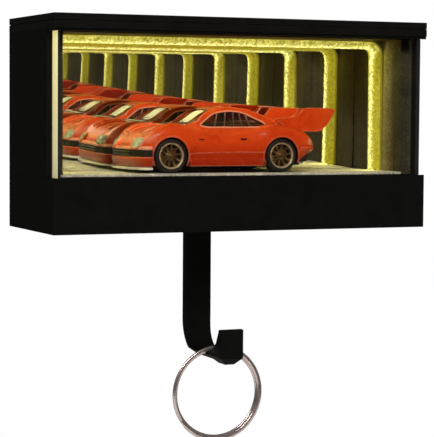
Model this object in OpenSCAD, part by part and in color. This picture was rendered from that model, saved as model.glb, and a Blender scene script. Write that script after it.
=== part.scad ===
// Wall-hung display cabinet for one small model car, with an endless-looking mirror tunnel and a key hook.
// Origin: centre of the back panel's rear face. +X right, +Z up, and the front faces -Y. Millimetres.

/* [Cabinet] */
// Overall width
cab_w = 120; // [120:1:130]
// Depth from the wall to the front of the base
cab_d = 43; // [43:0.5:48]
// Height of the cabinet without its hook
cab_h = 62.8; // [62.8:0.2:70]
// Height of the base block
base_h = 16.1; // [16.1:0.1:18]
// Thickness of the roof, frame and lid together
roof_t = 4.2; // [4.2:0.1:5]
// How far the roof stands out over the front
roof_over = 0.6; // [0.4:0.1:1.5]
// Thickness of the side walls
side_t = 4.4; // [4:0.1:5]
// Thickness of the back panel
back_t = 4; // [4:0.1:5]

/* [Front pane] */
// Thickness of the clear acrylic pane
pane_t = 5; // [5:0.1:5]
// How far the pane stops short of the cabinet's left side
pane_inset = 1.6; // [1.4:0.1:2.5]
// How deep the pane sits in the base's groove
groove_h = 1.5; // [1:0.1:1.6]
// Radius that the rear mirror is bowed to, which makes the repeats close in on each other
mirror_bow = 1600; // [1200:100:3000]
// Height, over the cabinet's middle, at which the bowed mirror comes furthest forward
mirror_crest = 30; // [24:1:36]

/* [Lighting] */
// Width of the light strip's tape
strip_w = 8; // [7:0.5:10]
// Width of the glowing phosphor on it
glow_w = 5.6; // [4:0.2:6.6]
// Outer radius of the arch's bent corners
strip_r = 5; // [4:0.5:6]

/* [Hook and ring] */
// Width of the hook's flat bar
hook_w = 8.2; // [6:0.1:9]
// Thickness of the hook's flat bar
hook_t = 3.5; // [3:0.1:3.5]
// How far the hook hangs below the cabinet
hook_drop = 41.5; // [38:0.5:50]
// Depth of the hook's seat in the back panel
hook_seat = 1; // [0.4:0.1:1.2]
// Outer diameter of the split ring
ring_od = 30; // [28:1:32]
// Thickness of the ring's double wire
ring_wire = 2; // [1.8:0.1:2]

/* [Wall fixing] */
// Distance between the two keyholes
keyhole_gap = 80; // [60:5:90]
// Radius of a keyhole's round entry
keyhole_r = 4; // [3.5:0.1:4.5]
// Width of a keyhole's slot
keyhole_slot = 4.2; // [3.6:0.1:4.6]

/* [Model car] */
// Radius of the tyres
tyre_r = 5.1; // [4.9:0.1:5.2]
// Distance between the axles
wheelbase = 36; // [34:0.5:37]
// Overall width of the car
car_w = 28.4; // [27:0.1:28.4]

/* [Hidden] */
$fn = 48;

// Levels and planes of the cabinet
half_w = cab_w / 2;
z_bot = -cab_h / 2;
z_deck = z_bot + base_h;
z_top = cab_h / 2;
z_roof = z_top - roof_t;
y_front = -cab_d;
lip_t = 1.05;
fit = 0.1;

// Front pane and its film
y_pane = y_front + lip_t + 0.15;
y_film = y_pane + pane_t;
film_t = 0.2;
y_film_back = y_film + film_t;
y_groove_back = y_film_back + 0.15;
y_wall = y_groove_back + 0.25;
pane_x0 = -half_w + pane_inset;
pane_x1 = half_w - 1.4;
z_pane_top = z_roof + 0.2;
z_pane_foot = z_deck - groove_h + 0.1;
rail_drop = 0.8;
trim_t = 0.15;

// Base block
wall_t = 2.4;
deck_t = 2.7;
cover_t = 2;
post_w = 6;
base_edge_r = 0.3;
z_cover = z_bot + cover_t;

// Lining of the display space
panel_t = 0.8;
liner_t = 0.6;
mirror_t = 1.6;
y_mirror = -back_t - mirror_t;
inner_x = half_w - side_t;
liner_x = inner_x - liner_t;
flange_left = -pane_x0;
flange_right = half_w;
z_floor = z_deck + panel_t;
z_ceiling = z_roof - panel_t;

// Roof
frame_t = roof_t / 2;
z_lid = z_roof + frame_t;
rail_up = 1.2;
y_rail_back = y_groove_back + 1.2;
roof_screw_y = [-30, -11];
lid_peg_x = [-45, 45];
lid_peg_y = [-30, -10];

// Screws of the M2 size
screw_r = 1;
screw_hole = screw_r + 0.05;
head_r = 1.9;
head_t = 1.2;
screw_x = half_w - side_t / 2;
cover_screw_x = [-half_w + 5.4, half_w - 5.4];
cover_screw_y = [y_front + 5.4, -back_t - 3.1];
back_screw_x = half_w - 5.4;
z_back_screw = [z_deck - deck_t - 3.4, z_deck + 7, z_roof - 7];
z_hook_screw = [z_cover + 3.2, z_cover + 8];

// Light strip
tape_t = 0.4;
glow_t = 2.2;
y_strip = (y_film_back + y_mirror) / 2;
z_strip_foot = z_floor + 0.3;
strip_x = liner_x - tape_t;
wire_r = 0.45;
wire_x = strip_x - glow_t / 2 + 0.3;
wire_gap = 2.4;

// Electronics in the base
board_t = 1.2;
board_x = [34, 57.2];
board_notch_x = 55;
board_y = [-33, -11];
z_board = z_cover + 3.2;
battery_x = [-51.2, -1.2];
usb_l = 7.3;
usb_w = 9;
usb_h = 3.2;
y_usb = -27.5;
y_button = -15.2;
z_button = z_board + 4;
button_r = 3;
flange_r = 4;
flange_t = 1.2;
button_out = 0.8;

// Hook and split ring
y_hook_back = -back_t + hook_seat;
y_hook = y_hook_back - hook_t;
z_hook = z_bot - hook_drop;
z_hook_top = z_cover + 10.5;
hook_r = 10.5;
tip_y = -33;
tip_h = 10.8;
tip_w = 7.2;
tip_bevel = 2.6;
z_hook_floor = z_hook + 2.2;
z_hook_under = z_hook + 1;
wire_mid_r = (ring_od - ring_wire) / 2;
y_ring = -21.4;
z_ring_pivot = z_hook_floor + ring_wire / 2 + 0.08;
z_ring = z_ring_pivot - sqrt(pow(wire_mid_r, 2) - pow(hook_w / 2, 2));

// Model car: it stands on the display floor with its nose towards -X
y_car = -20.8;
x_front = -20.8;
x_rear = x_front + wheelbase;
z_car = z_floor + 0.05;
tyre_w = 4.4;
y_tyre = car_w / 2 - 0.2;
axle_r = 0.6;
axle_hole = axle_r + 0.05;
arch_r = tyre_r + 0.6;
fender_r = tyre_r + 2.3;
shell_t = 0.9;
rivet_x = [-26, 21.4];

// A box given by its two limits along each axis
module block(x, y, z) {
    translate([x[0], y[0], z[0]]) cube([x[1] - x[0], y[1] - y[0], z[1] - z[0]]);
}

// Points of an arc from angle a0 to a1 in n steps
function arc(x, y, r, a0, a1, n = 8) = [
    for (i = [0:n]) let (a = a0 + (a1 - a0) * i / n) [x + r * cos(a), y + r * sin(a)]
];

// Outline seen from above with its two front corners rounded
function front_rounded(x0, x1, y0, y1, r) = concat(
    arc(x0 + r, y0 + r, r, 180, 270),
    arc(x1 - r, y0 + r, r, 270, 360),
    [[x1, y1], [x0, y1]]
);

// Lays a side outline of points [y, z] across the width x
module across(x, points) {
    translate([x[0], 0, 0]) rotate([90, 0, 90]) linear_extrude(x[1] - x[0]) polygon(points);
}

// Lays a side outline of points [x, z] along the depth y
module along(y, points) {
    translate([0, y[1], 0]) rotate([90, 0, 0]) linear_extrude(y[1] - y[0]) polygon(points);
}

// A cylinder along Y from y0 to y1
module rod_y(x, z, r, y0, y1) {
    translate([x, y1, z]) rotate([90, 0, 0]) cylinder(r = r, h = y1 - y0);
}

// A cylinder along X from x0 to x1
module rod_x(y, z, r, x0, x1) {
    translate([x0, y, z]) rotate([0, 90, 0]) cylinder(r = r, h = x1 - x0);
}

// A flat-ended slot outline with round ends, w long and h high, centred on the origin
module stadium(w, h) {
    polygon(concat(arc(w / 2 - h / 2, 0, h / 2, -90, 90), arc(-w / 2 + h / 2, 0, h / 2, 90, 270)));
}

// Places a copy at the left and a mirrored copy at the right
module both_sides() {
    children();
    mirror([1, 0, 0]) children();
}

// Base block: a box with an open back and underside, and the pane's groove along the front of its deck
module base_housing() {
    inner = [-half_w + wall_t, half_w - wall_t];
    color([0.03, 0.03, 0.03]) difference() {
        union() {
            difference() {
                translate([0, 0, z_bot]) linear_extrude(base_h)
                    polygon(front_rounded(-half_w, half_w, y_front, -back_t, base_edge_r));
                block(inner, [y_front + wall_t, -back_t + 1], [z_bot - 1, z_deck - deck_t]);
            }
            for (x = cover_screw_x, y = cover_screw_y) {
                reach = x > 0 ? inner[1] + 0.4 : inner[0] - 0.4;
                block([min(x - post_w / 2, reach), max(x + post_w / 2, reach)], [y - post_w / 2, y + post_w / 2],
                    [z_cover, z_deck - deck_t + 0.5]);
            }
        }
        for (x = cover_screw_x, y = cover_screw_y)
            translate([x, y, z_cover - 1]) cylinder(r = screw_hole, h = 8);
        block([pane_x0 - 0.2, half_w + 1], [y_pane - 0.15, y_groove_back], [z_deck - groove_h, z_deck + 1]);
        both_sides() side_tongue(0.1);
        for (x = [-1, 1]) rod_y(x * back_screw_x, z_back_screw[0], screw_hole, -back_t - 8, -back_t + 1);
        for (side = [-1, 1])
            translate([wire_x, y_strip + side * wire_gap / 2, z_deck - deck_t - 1])
                cylinder(r = wire_r + 0.3, h = deck_t + 2);
        rod_x(y_button, z_button, button_r + 0.1, half_w - wall_t - 1, half_w + 1);
        translate([half_w - wall_t - 1, y_usb, z_board + board_t + usb_h / 2])
            rotate([90, 0, 90]) linear_extrude(wall_t + 2) stadium(usb_w + 0.4, usb_h + 0.4);
    }
}

// Underside plate with the hook's slot and two ribs under the control board
module base_cover() {
    x = half_w - wall_t - fit;
    color([0.04, 0.04, 0.04]) difference() {
        union() {
            block([-x, x], [y_front + wall_t + fit, -back_t - fit], [z_bot, z_cover]);
            for (y = [board_y[0] + 2, board_y[1] - 4])
                block([board_x[0] + 2, board_x[1] - 9], [y, y + 2], [z_cover - 0.5, z_board]);
        }
        for (sx = cover_screw_x, sy = cover_screw_y) translate([sx, sy, z_bot]) {
            translate([0, 0, -1]) cylinder(r = screw_hole, h = cover_t + 2);
            translate([0, 0, -0.01]) cylinder(r = head_r + 0.05, h = head_t + 0.01);
        }
        block([-hook_w / 2 - 0.2, hook_w / 2 + 0.2], [y_hook - 0.2, -back_t], [z_bot - 1, z_cover + 1]);
    }
}

// Rear plate: keyholes for two wall screws, a shallow seat for the hook and holes for the case's screws
module back_panel() {
    z_key = 12;
    rise = 7;
    plate = 1.4;
    color([0.03, 0.03, 0.03]) difference() {
        block([-half_w, half_w], [-back_t, 0], [z_bot, z_roof]);
        block([-hook_w / 2 - 0.1, hook_w / 2 + 0.1], [-back_t - 1, y_hook_back], [z_bot - 1, z_hook_top + 0.1]);
        for (x = [-keyhole_gap / 2, keyhole_gap / 2]) {
            rod_y(x, z_key, keyhole_r, -back_t - 1, 1);
            block([x - keyhole_slot / 2, x + keyhole_slot / 2], [-plate - 0.5, 1], [z_key, z_key + rise]);
            rod_y(x, z_key + rise, keyhole_slot / 2, -plate - 0.5, 1);
            block([x - keyhole_r, x + keyhole_r], [-back_t - 1, -plate], [z_key, z_key + rise]);
            rod_y(x, z_key + rise, keyhole_r, -back_t - 1, -plate);
        }
        for (x = [-1, 1], z = z_back_screw) {
            rod_y(x * (z > z_deck ? screw_x : back_screw_x), z, screw_hole, -back_t - 1, 1);
            rod_y(x * (z > z_deck ? screw_x : back_screw_x), z, head_r + 0.05, -head_t, 0.01);
        }
        for (z = z_hook_screw) rod_y(0, z, screw_hole, -back_t - 2, -0.5);
    }
}

// Tongue under a side wall that stands in the deck, grown by the clearance g; drawn for the left side
module side_tongue(g) {
    block([-screw_x - 1 - g, -screw_x + 1 + g], [-30 - g, -10 + g], [z_deck - 1.2 - g, z_deck + 0.01]);
}

// Side wall, drawn for the left side, with a rebate for the liner's flange that reaches out to x = -reach
module side_wall(reach) {
    difference() {
        union() {
            block([-half_w, -inner_x], [y_wall, -back_t], [z_deck, z_roof]);
            side_tongue(0);
        }
        block([-reach, -inner_x + 1], [y_wall - 1, y_wall + liner_t], [z_deck, z_roof + 1]);
        for (z = [z_back_screw[1], z_back_screw[2]]) rod_y(-screw_x, z, screw_hole, -back_t - 8, -back_t + 1);
        for (y = roof_screw_y) translate([-screw_x, y, z_roof - 7]) cylinder(r = screw_hole, h = 8);
    }
}

module left_wall() {
    color([0.03, 0.03, 0.03]) side_wall(flange_left);
}

module right_wall() {
    color([0.03, 0.03, 0.03]) mirror([1, 0, 0]) side_wall(flange_right);
}

// Thin concrete-look card on a side wall, folded round the wall's front end; drawn for the left side
module liner(reach) {
    block([-inner_x, -liner_x], [y_wall, y_mirror], [z_floor, z_ceiling]);
    block([-reach, -inner_x], [y_wall, y_wall + liner_t], [z_deck, z_roof]);
}

module left_liner() {
    color([0.42, 0.4, 0.36]) union() {
        liner(flange_left);
    }
}

module right_liner() {
    color([0.42, 0.4, 0.36]) mirror([1, 0, 0]) union() {
        liner(flange_right);
    }
}

// Roof frame: screwed down on the walls, with a recess for the pane's top rail and holes for the lid's pegs
module roof_frame() {
    color([0.05, 0.05, 0.05]) difference() {
        translate([0, 0, z_roof]) linear_extrude(frame_t)
            polygon(front_rounded(-half_w, half_w, y_front - roof_over, 0, base_edge_r));
        block([-half_w - 1, half_w + 1], [y_front, y_rail_back + 0.05], [z_roof - 1, z_roof + rail_up]);
        for (x = [-screw_x, screw_x], y = roof_screw_y) translate([x, y, z_roof - 1]) {
            cylinder(r = screw_hole, h = frame_t + 2);
            translate([0, 0, 1 + frame_t - head_t]) cylinder(r = head_r + 0.05, h = 2);
        }
        for (x = lid_peg_x, y = lid_peg_y) translate([x, y, z_roof + 0.6]) cylinder(r = 1.6, h = frame_t);
    }
}

// Roof lid: a plate with four pegs, set back a little at its lower edge so that a fine line shows all round
module roof_lid() {
    seam = 0.25;
    color([0.07, 0.07, 0.07]) union() {
        translate([0, 0, z_lid + seam]) linear_extrude(z_top - z_lid - seam)
            polygon(front_rounded(-half_w, half_w, y_front - roof_over, 0, base_edge_r));
        block([-half_w + seam, half_w - seam], [y_front - roof_over + seam, -seam],
            [z_lid, z_lid + seam + 0.1]);
        for (x = lid_peg_x, y = lid_peg_y) translate([x, y, z_roof + 0.8]) cylinder(r = 1.5, h = frame_t);
    }
}

// Channel under the roof's front edge that guides the top of the pane
module top_rail() {
    color([0.02, 0.02, 0.02]) difference() {
        block([-half_w, half_w], [y_front, y_rail_back], [z_roof - rail_drop, z_roof + rail_up]);
        block([pane_x0 - 0.2, half_w + 1], [y_pane - 0.15, y_groove_back], [z_roof - rail_drop - 1, z_pane_top + 0.15]);
        block([-half_w - 1, half_w + 1], [y_groove_back + 0.05, y_rail_back + 1], [z_roof - rail_drop - 1, z_roof]);
    }
}

module ceiling_panel() {
    color([0.4, 0.38, 0.34]) block([-inner_x, inner_x], [y_wall, y_mirror], [z_ceiling, z_roof]);
}

module floor_panel() {
    color([0.55, 0.52, 0.45]) difference() {
        block([-inner_x, inner_x], [y_wall, y_mirror], [z_deck, z_floor]);
        for (side = [-1, 1])
            translate([wire_x, y_strip + side * wire_gap / 2, z_deck - 1])
                cylinder(r = wire_r + 0.3, h = panel_t + 2);
    }
}

// Rear mirror: its face is bowed from floor to ceiling, a little convex
module back_mirror() {
    steps = 24;
    face = [
        for (i = [0:steps]) let (z = z_roof + (z_deck - z_roof) * i / steps)
            [y_mirror + pow(z - mirror_crest, 2) / mirror_bow / 2, z]
    ];
    color([0.85, 0.87, 0.88]) across([-inner_x, inner_x], concat([[-back_t, z_deck], [-back_t, z_roof]], face));
}

module front_pane() {
    color([0.98, 0.93, 0.65, 0.3]) block([pane_x0, pane_x1], [y_pane, y_film], [z_pane_foot, z_pane_top]);
}

// Half-silvered film on the pane's inner face
module mirror_film() {
    color([0.7, 0.75, 0.8, 0.4]) block([pane_x0, pane_x1], [y_film, y_film_back], [z_pane_foot, z_pane_top]);
}

// Black tape strips that finish the pane's two ends
module pane_trims() {
    z = [z_deck + 0.1, z_roof - rail_drop - 0.1];
    color([0.02, 0.02, 0.02]) {
        block([pane_x0, pane_x0 + 0.6], [y_pane - trim_t, y_pane], z);
        block([pane_x1 - 1.3, pane_x1], [y_pane - trim_t, y_pane], z);
    }
}

// One layer of the light arch: w wide, outer faces at x and z, corner radius r, thickness t
module arch(w, x, z, r, t) {
    y = [y_strip - w / 2, y_strip + w / 2];
    outline = concat(
        [[x, z_strip_foot]],
        arc(x - r, z - r, r, 0, 90),
        arc(-x + r, z - r, r, 90, 180),
        [[-x, z_strip_foot], [-x + t, z_strip_foot]],
        arc(-x + r, z - r, r - t, 180, 90),
        arc(x - r, z - r, r - t, 90, 0),
        [[x - t, z_strip_foot]]
    );
    along(y, outline);
}

module led_tape() {
    color([0.95, 0.93, 0.85]) arch(strip_w, liner_x, z_ceiling, strip_r, tape_t);
}

module led_phosphor() {
    color([0.98, 0.9, 0.3]) arch(glow_w, strip_x, z_ceiling - tape_t, strip_r - tape_t, glow_t);
}

// Two wires from the strip's foot down to the control board
module led_wires() {
    for (side = [-1, 1])
        color(side > 0 ? [0.7, 0.05, 0.05] : [0.05, 0.05, 0.05])
            translate([wire_x, y_strip + side * wire_gap / 2, z_board + board_t])
                cylinder(r = wire_r, h = z_strip_foot - z_board - board_t);
}

// Flat rechargeable cell that lies in the base
module battery() {
    color([0.75, 0.77, 0.8]) translate([battery_x[0], -25, z_cover + 3.1]) rotate([90, 0, 90])
        linear_extrude(battery_x[1] - battery_x[0]) stadium(22, 6);
}

module battery_leads() {
    for (side = [-1, 1])
        color(side > 0 ? [0.7, 0.05, 0.05] : [0.05, 0.05, 0.05])
            rod_x(-25 + side * 1.5, z_board + board_t / 2, 0.5, battery_x[1], board_x[0]);
}

// Circuit board with its charging chip, driver chip, coil and two capacitors
module control_board() {
    z = z_board + board_t;
    color([0.05, 0.3, 0.12]) union() {
        difference() {
            block(board_x, board_y, [z_board, z]);
            block([board_notch_x, board_x[1] + 1], [y_button - 4.6, board_y[1] + 1], [z_board - 1, z + 1]);
        }
        block([38, 42], [-30, -26], [z - 0.1, z + 1.2]);
        block([37, 40], [-20, -17], [z - 0.1, z + 1]);
        translate([44.5, -21.5, z - 0.1]) cylinder(r = 2.4, h = 2.4);
        for (y = [-31, -28.5]) block([44.5, 46.5], [y, y + 1.3], [z - 0.1, z + 0.9]);
    }
}

// Charging socket: a thin steel shell round a contact tongue
module usb_socket() {
    x1 = half_w - 0.3;
    z = z_board + board_t + usb_h / 2;
    color([0.7, 0.7, 0.72]) {
        difference() {
            translate([x1 - usb_l, y_usb, z]) rotate([90, 0, 90]) linear_extrude(usb_l) stadium(usb_w, usb_h);
            translate([x1 - usb_l + 1, y_usb, z]) rotate([90, 0, 90])
                linear_extrude(usb_l) stadium(usb_w - 0.6, usb_h - 0.6);
        }
        block([x1 - usb_l + 0.5, x1 - 0.8], [y_usb - 3.3, y_usb + 3.3], [z - 0.35, z + 0.35]);
    }
}

// Tactile switch on the board behind the push button
module button_switch() {
    x1 = half_w - wall_t - flange_t - button_out - 0.5;
    color([0.15, 0.15, 0.16]) {
        block([x1 - 3.6, x1 - 0.6], [y_button - 3, y_button + 3], [z_board + board_t, z_board + board_t + 5]);
        rod_x(y_button, z_button, 1.4, x1 - 0.7, x1);
    }
}

// Push button: a cap that stands out of the right side, with a flange that keeps it in
module push_button() {
    x0 = half_w - wall_t - flange_t;
    color([0.06, 0.06, 0.06]) union() {
        rod_x(y_button, z_button, flange_r, x0, x0 + flange_t);
        rod_x(y_button, z_button, button_r, x0 + flange_t - 0.2, half_w + button_out);
    }
}

// Key hook: a bar that comes down behind, bends forward and ends in an upturned tip with bevelled lower corners
module key_hook() {
    bend = hook_r - hook_t;
    y_bend = y_hook_back - hook_r;
    side = concat(
        [[y_hook_back, z_hook_top], [y_hook, z_hook_top]],
        arc(y_bend, z_hook_floor + bend, bend, 0, -90, 10),
        [[tip_y + 9.6, z_hook_floor], [tip_y + 4.2, z_hook + 6.4]],
        [[tip_y + 2, z_hook + tip_h], [tip_y, z_hook + tip_h], [tip_y, z_hook + 2]],
        [[tip_y + 2, z_hook], [tip_y + 7, z_hook], [tip_y + 9, z_hook_under]],
        arc(y_bend, z_hook_under + hook_r, hook_r, -90, 0, 12)
    );
    half = hook_w / 2;
    front = [
        [-half + tip_bevel, z_hook], [half - tip_bevel, z_hook], [half, z_hook + tip_bevel],
        [half, z_hook_top], [-half, z_hook_top], [-half, z_hook + tip_bevel]
    ];
    above = [[-half, 0], [-half, y_bend], [-tip_w / 2, tip_y], [tip_w / 2, tip_y], [half, y_bend], [half, 0]];
    color([0.04, 0.04, 0.04]) difference() {
        intersection() {
            across([-half, half], side);
            along([tip_y, 0], front);
            translate([0, 0, z_hook]) linear_extrude(z_hook_top - z_hook) polygon(above);
        }
        for (z = z_hook_screw) rod_y(0, z, screw_hole, y_hook - 1, y_hook_back + 1);
    }
}

// Pan-head screw along Y: its head lies on the plane y and its shank runs l towards the wall
module pan_screw(x, y, z, l) {
    difference() {
        union() {
            rod_y(x, z, head_r, y - 1.4, y);
            rod_y(x, z, screw_r, y - 0.2, y + l);
        }
        for (a = [0, 90]) translate([x, y - 1.4, z]) rotate([0, a, 0]) cube([0.5, 1.2, 2.4], center = true);
    }
}

module hook_screws() {
    color([0.6, 0.6, 0.62]) for (z = z_hook_screw) pan_screw(0, y_hook, z, hook_t + 2.3);
}

// Flat-head screw that points up from the origin, with its head's face at z = 0
module flat_screw(l) {
    difference() {
        union() {
            cylinder(r = head_r, h = head_t - 0.05);
            cylinder(r = screw_r, h = l);
        }
        for (a = [0, 90]) rotate([0, 0, a]) cube([2.4, 0.5, 1.2], center = true);
    }
}

module cover_screws() {
    color([0.5, 0.5, 0.52]) for (x = cover_screw_x, y = cover_screw_y) translate([x, y, z_bot]) flat_screw(7.5);
}

module roof_screws() {
    color([0.5, 0.5, 0.52]) for (x = [-screw_x, screw_x], y = roof_screw_y)
        translate([x, y, z_lid]) rotate([180, 0, 0]) flat_screw(8);
}

module back_screws() {
    color([0.5, 0.5, 0.52]) for (x = [-1, 1], z = z_back_screw)
        translate([x * (z > z_deck ? screw_x : back_screw_x), 0, z]) rotate([90, 0, 0]) flat_screw(10.5);
}

// Split ring: two coils of wire that lie against each other
module key_ring() {
    color([0.75, 0.72, 0.7]) translate([0, y_ring, z_ring]) rotate([90, 0, 0])
        rotate_extrude($fn = 96) translate([wire_mid_r, 0]) difference() {
            circle(r = ring_wire / 2, $fn = 32);
            for (side = [-1, 1]) translate([side * ring_wire / 2, 0]) square([0.5, 0.2], center = true);
        }
}

// Side outline of the car's lower body, as points [x, height over the floor]
body_outline = concat(
    [[-27.4, 1.6], [-30.8, 1.8]],
    arc(-29.7, 4.6, 1.4, 200, 120, 4),
    [[-30.2, 8]],
    arc(-27.3, 9.4, 3, 165, 110, 5),
    [[-25, 13.6], [-14.5, 14.8], [4, 15.3], [17, 14.4], [24, 12.4]],
    arc(25, 9, 2.8, 60, 0, 5),
    [[27.4, 5.4], [24.6, 3.2], [20, 1.9]]
);

// Side outline of the roof and its glass, grown outward by g
function cabin_outline(g) = concat(
    [[-16.6 - g, 13.4], [-15 - g, 15]],
    arc(-7.4, 17.2, 2.9 + g, 130, 85, 4),
    arc(2.6, 15.2, 4.8 + g, 80, 55, 4),
    [[18 + g, 15], [19 + g, 13.4]]
);

// The cabin from the front: it leans in towards the roof
function cabin_section(g) = [
    [-12.2 - g, 13.4], [-8.9 - g, 20.2 + g], [8.9 + g, 20.2 + g], [12.2 + g, 13.4]
];

// Puts the car's own coordinates, with z over the floor and y from the car's middle, in place
module on_floor() {
    translate([0, y_car, z_car]) children();
}

module cabin(g) {
    intersection() {
        along([-15, 15], cabin_outline(g));
        across([-21, 22], cabin_section(g));
    }
}

// Car body: a hollow shell with wide arches over the wheels
module car_body() {
    half = car_w / 2;
    arch_depth = tyre_w + 0.9;
    color([0.84, 0.22, 0.07]) on_floor() difference() {
        union() {
            along([-half + 1, half - 1], body_outline);
            cabin(0);
            for (x = [x_front, x_rear]) intersection() {
                rod_y(x, tyre_r, fender_r, -half, half);
                block([x - fender_r, x + fender_r], [-half, half], [2.6, 13.4]);
            }
        }
        difference() {
            cabin(-shell_t);
            block([-30, 30], [-15, 15], [0, 14.2]);
        }
        block([-16, 15], [-10.5, 10.5], [3.2, 14.4]);
        block([-28, 24], [-9, 9], [0, 9.6]);
        for (x = [x_front, x_rear], side = [-1, 1])
            rod_y(x, tyre_r, arch_r, min(side * (half - arch_depth), side * (half + 1)),
                max(side * (half - arch_depth), side * (half + 1)));
        window_cuts();
        wing_shape();
        lamp_shapes();
    }
}

// Openings for the windscreen, side windows and rear window
module window_cuts() {
    along([-15, 15], [[-12.2, 15.4], [-7.4, 18.9], [3.4, 18.9], [12, 15.4]]);
    across([-20, -10.9], [[-9.8, 15.5], [-7.9, 18.8], [7.9, 18.8], [9.8, 15.5]]);
    across([9, 20], [[-9, 15.7], [-7.9, 18.3], [7.9, 18.3], [9, 15.7]]);
}

// One tinted moulding that glazes all windows from inside
module car_windows() {
    color([0.05, 0.05, 0.06]) on_floor() difference() {
        cabin(-shell_t - 0.05);
        cabin(-shell_t - 0.75);
        block([-30, 30], [-15, 15], [0, 14.5]);
    }
}

// Rear wing: a swept plate between two end plates, on the rear deck
module wing_shape() {
    plate = [[20.2, 14.2], [22, 13.2], [29, 13.4], [34.2, 19], [32.6, 19], [28.2, 15.4], [22, 15.6]];
    end_plate = [
        [18.6, 13.6], [22.6, 12.6], [28.6, 12.4], [31.4, 14.2], [34.6, 19.4], [23, 19.3], [21.2, 17.4], [13.4, 16.6]
    ];
    along([-11.4, 11.4], plate);
    for (y = [[-12.4, -11.2], [11.2, 12.4]]) along(y, end_plate);
}

module car_wing() {
    color([0.86, 0.23, 0.07]) on_floor() union() {
        wing_shape();
    }
}

// Head lamps and tail lamps in the corners of the body
module lamp_shapes() {
    for (side = [-1, 1]) {
        translate([-29.7, side * 9, 9.2]) rotate([0, -62, 0]) cylinder(r = 2.3, h = 1.4);
        block([26.9, 28], [side * 9.4 - 2.8, side * 9.4 + 2.8], [7.6, 9.6]);
    }
}

module car_lamps() {
    color([0.9, 0.88, 0.8]) on_floor() lamp_shapes();
}

// Pale splitter under the nose
module car_splitter() {
    color([0.85, 0.83, 0.8]) on_floor() block([-31.2, -28.1], [-12.6, 12.6], [0.9, 1.55]);
}

// Chassis plate with bearing blocks for both axles
module car_chassis() {
    color([0.08, 0.08, 0.08]) on_floor() difference() {
        union() {
            block([-27.6, 23.6], [-8.5, 8.5], [2, 3.2]);
            for (x = [x_front, x_rear]) block([x - 2.6, x + 2.6], [-8.5, 8.5], [3, 7.6]);
            for (x = rivet_x) translate([x, 0, 3]) cylinder(r = 2, h = 6.4);
        }
        for (x = [x_front, x_rear]) rod_y(x, tyre_r, axle_hole, -9, 9);
        for (x = rivet_x) translate([x, 0, 1]) cylinder(r = 1.05, h = 10);
    }
}

module car_rivets() {
    color([0.7, 0.7, 0.7]) on_floor() for (x = rivet_x) translate([x, 0, 1.2]) {
        cylinder(r = 1.9, h = 0.75);
        cylinder(r = 1, h = 8.2);
    }
}

module axle(x) {
    color([0.7, 0.7, 0.72]) on_floor() rod_y(x, tyre_r, axle_r, -y_tyre + 1.2, y_tyre - 1.2);
}

// Two rims: a dished disc with a hub, ten spokes and a rim band
module rims(x) {
    color([0.55, 0.42, 0.22]) on_floor() for (side = [-1, 1])
        translate([x, side * y_tyre, tyre_r]) rotate([side * 90, 0, 0]) difference() {
            union() {
                difference() {
                    translate([0, 0, 0.3]) cylinder(r = 3.9, h = tyre_w - 0.6);
                    translate([0, 0, -0.1]) cylinder(r = 3.3, h = 1.8);
                }
                translate([0, 0, 0.5]) cylinder(r = 1, h = 2);
                for (k = [0:9]) rotate([0, 0, k * 36]) translate([0.4, -0.25, 0.6]) cube([3.1, 0.5, 1.6]);
            }
            translate([0, 0, 1.2]) cylinder(r = axle_r, h = tyre_w);
        }
}

module tyres(x) {
    section = [
        [3.9, 0.4], [4.6, 0], [tyre_r, 0.6], [tyre_r, tyre_w - 0.6], [4.6, tyre_w], [3.9, tyre_w - 0.4]
    ];
    color([0.05, 0.05, 0.05]) on_floor() for (side = [-1, 1])
        translate([x, side * y_tyre, tyre_r]) rotate([side * 90, 0, 0]) rotate_extrude() polygon(section);
}

module front_axle() {
    axle(x_front);
}

module front_rims() {
    rims(x_front);
}

module front_tyres() {
    tyres(x_front);
}

module rear_axle() {
    axle(x_rear);
}

module rear_rims() {
    rims(x_rear);
}

module rear_tyres() {
    tyres(x_rear);
}

base_housing();
base_cover();
back_panel();
left_wall();
right_wall();
left_liner();
right_liner();
roof_frame();
roof_lid();
top_rail();
ceiling_panel();
floor_panel();
back_mirror();
front_pane();
mirror_film();
pane_trims();
led_tape();
led_phosphor();
led_wires();
battery();
battery_leads();
control_board();
usb_socket();
button_switch();
push_button();
key_hook();
hook_screws();
cover_screws();
roof_screws();
back_screws();
key_ring();
car_body();
car_windows();
car_wing();
car_lamps();
car_splitter();
car_chassis();
car_rivets();
front_axle();
front_rims();
front_tyres();
rear_axle();
rear_rims();
rear_tyres();
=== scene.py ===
"""Looks of the wall-hung display cabinet: a mirror tunnel with a model car in it, and a key hook below."""

import random
from math import copysign, cos, pi, radians, sin

import bmesh
import bpy
from mathutils import Matrix, Vector


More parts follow.
